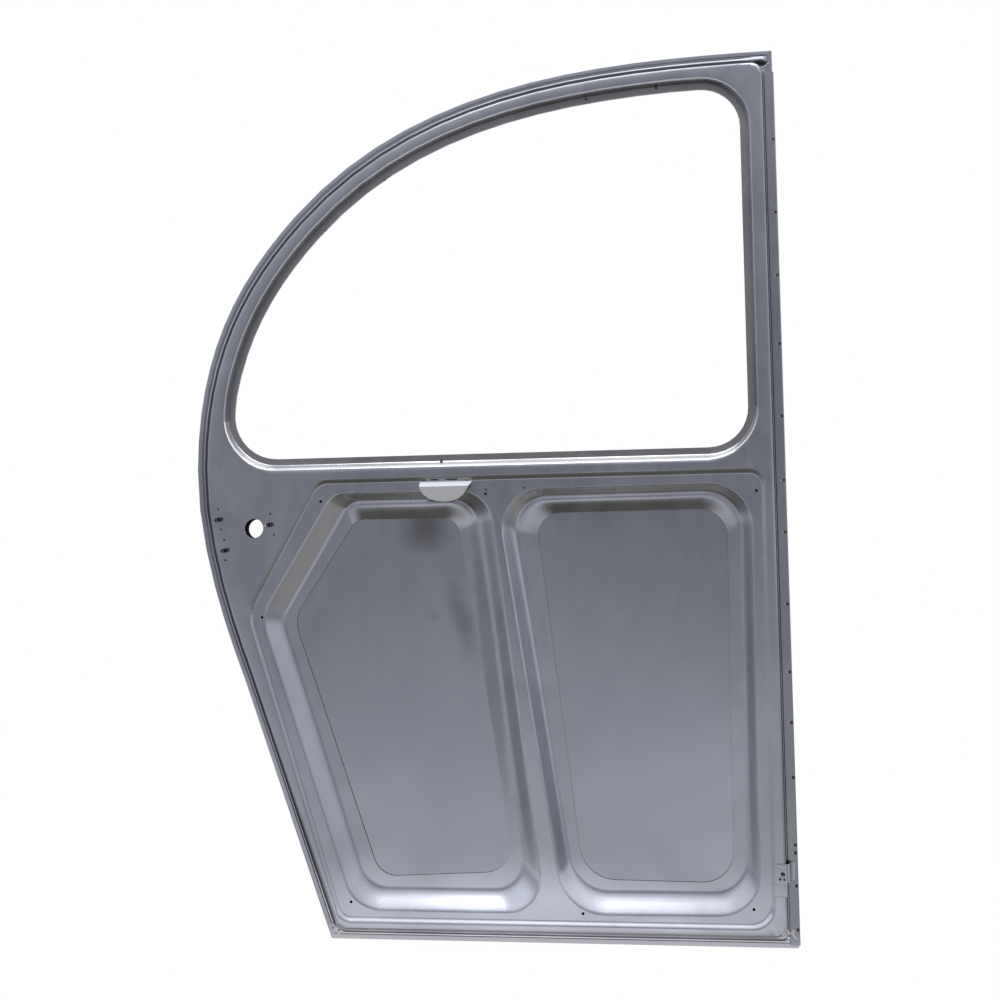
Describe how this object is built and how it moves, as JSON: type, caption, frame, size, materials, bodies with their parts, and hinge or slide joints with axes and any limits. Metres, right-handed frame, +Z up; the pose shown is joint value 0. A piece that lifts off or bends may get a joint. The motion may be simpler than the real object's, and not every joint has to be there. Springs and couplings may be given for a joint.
{
  "type": "car door shell",
  "caption": "Bare pressed-steel rear door shell with an arched window opening, recessed wells, a lock face and a rolled hinge edge.",
  "frame": {"origin": "Foot of the hinge edge, on the cabin face of the hemmed edge.", "axes": "+Z up along the hinge edge, +X towards the hinge pillar, +Y out of the car through the outer skin; the cabin side faces -Y."},
  "size_m": [0.7605, 0.0318, 1.12],
  "materials": {
    "inner_steel": "bare satin pressed steel",
    "skin_steel": "bare satin sheet, slightly darker",
    "strip_steel": "bare satin strip with weld marks",
    "bright_steel": "bright smooth plate",
    "dark_steel": "darker bare steel"
  },
  "bodies": {
    "root": {"outer_skin": "skin_steel", "inner_frame": "inner_steel", "hinge_strip": "strip_steel", "nut_cage_1": "dark_steel", "nut_cage_2": "dark_steel", "nut_cage_3": "dark_steel", "cage_nut_1": "dark_steel", "cage_nut_2": "dark_steel", "cage_nut_3": "dark_steel", "grip_plate": "bright_steel", "check_bracket": "dark_steel"}
  },
  "joints": []
}
